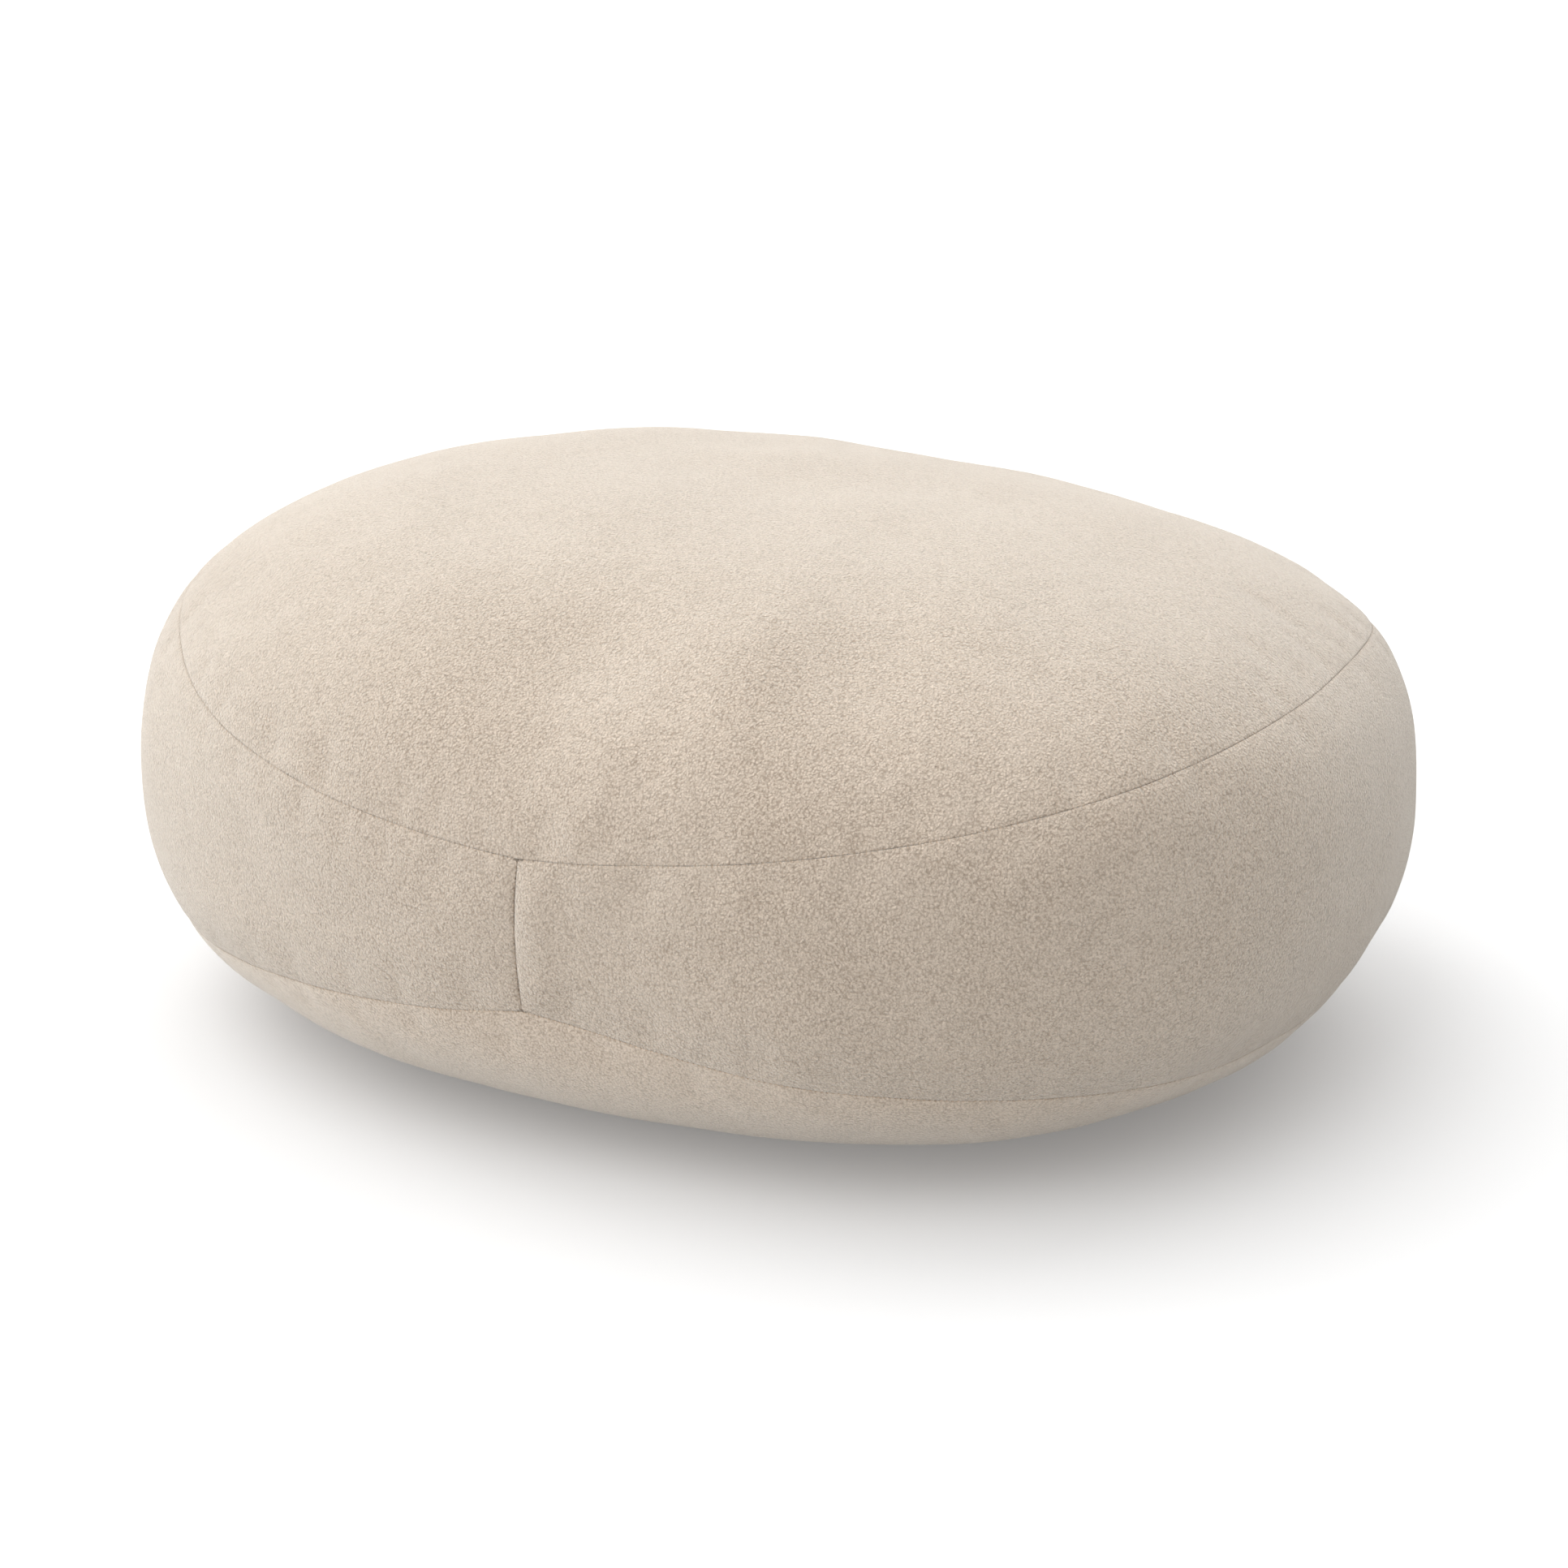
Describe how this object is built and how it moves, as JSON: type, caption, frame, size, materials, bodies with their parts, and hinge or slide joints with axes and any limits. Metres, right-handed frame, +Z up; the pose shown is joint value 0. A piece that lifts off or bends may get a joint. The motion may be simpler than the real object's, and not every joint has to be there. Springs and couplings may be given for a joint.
{
  "type": "floor cushion",
  "caption": "Plump oval floor cushion with a fleece cover of four sewn panels, a zip along the lower back seam, an inner liner and soft filling.",
  "frame": {"origin": "middle of the flat patch that rests on the floor", "axes": "+X along the length, -Y the front with the upright seam between the two side bands, +Y the back with the zip, +Z up"},
  "size_m": [0.7996, 0.6394, 0.34],
  "materials": {
    "fleece": "short fleece pile",
    "thread": "matt",
    "zip_tape": "woven",
    "zip_teeth": "satin",
    "zip_metal": "satin",
    "label": "satin weave",
    "liner": "plain weave",
    "filling": "loose fibre"
  },
  "bodies": {
    "cushion": {"top_panel": "fleece", "band_left": "fleece", "band_right": "fleece", "base_panel": "fleece", "top_seam_thread": "thread", "lower_seam_thread": "thread", "front_seam_thread": "thread", "back_seam_thread": "thread", "zip_tape_upper": "zip_tape", "zip_tape_lower": "zip_tape", "zip_teeth_upper": "zip_teeth", "zip_teeth_lower": "zip_teeth", "zip_top_stops": "zip_metal", "zip_bottom_stop": "zip_metal", "care_label": "label", "liner_top": "liner", "liner_band": "liner", "liner_base": "liner", "filling": "filling"},
    "slider": {"zip_slider": "zip_metal"},
    "pull": {"zip_pull": "zip_metal"}
  },
  "joints": [
    {"name": "zip_travel", "type": "slide", "parent": "cushion", "child": "slider", "axis": [1, 0, 0], "range_m": [0, 0.28]},
    {"name": "pull_swing", "type": "hinge", "parent": "slider", "child": "pull", "pos_m": [-0.14, 0.30134, 0.07336], "axis": [1, 0, 0], "range_deg": [-22, 135]}
  ]
}
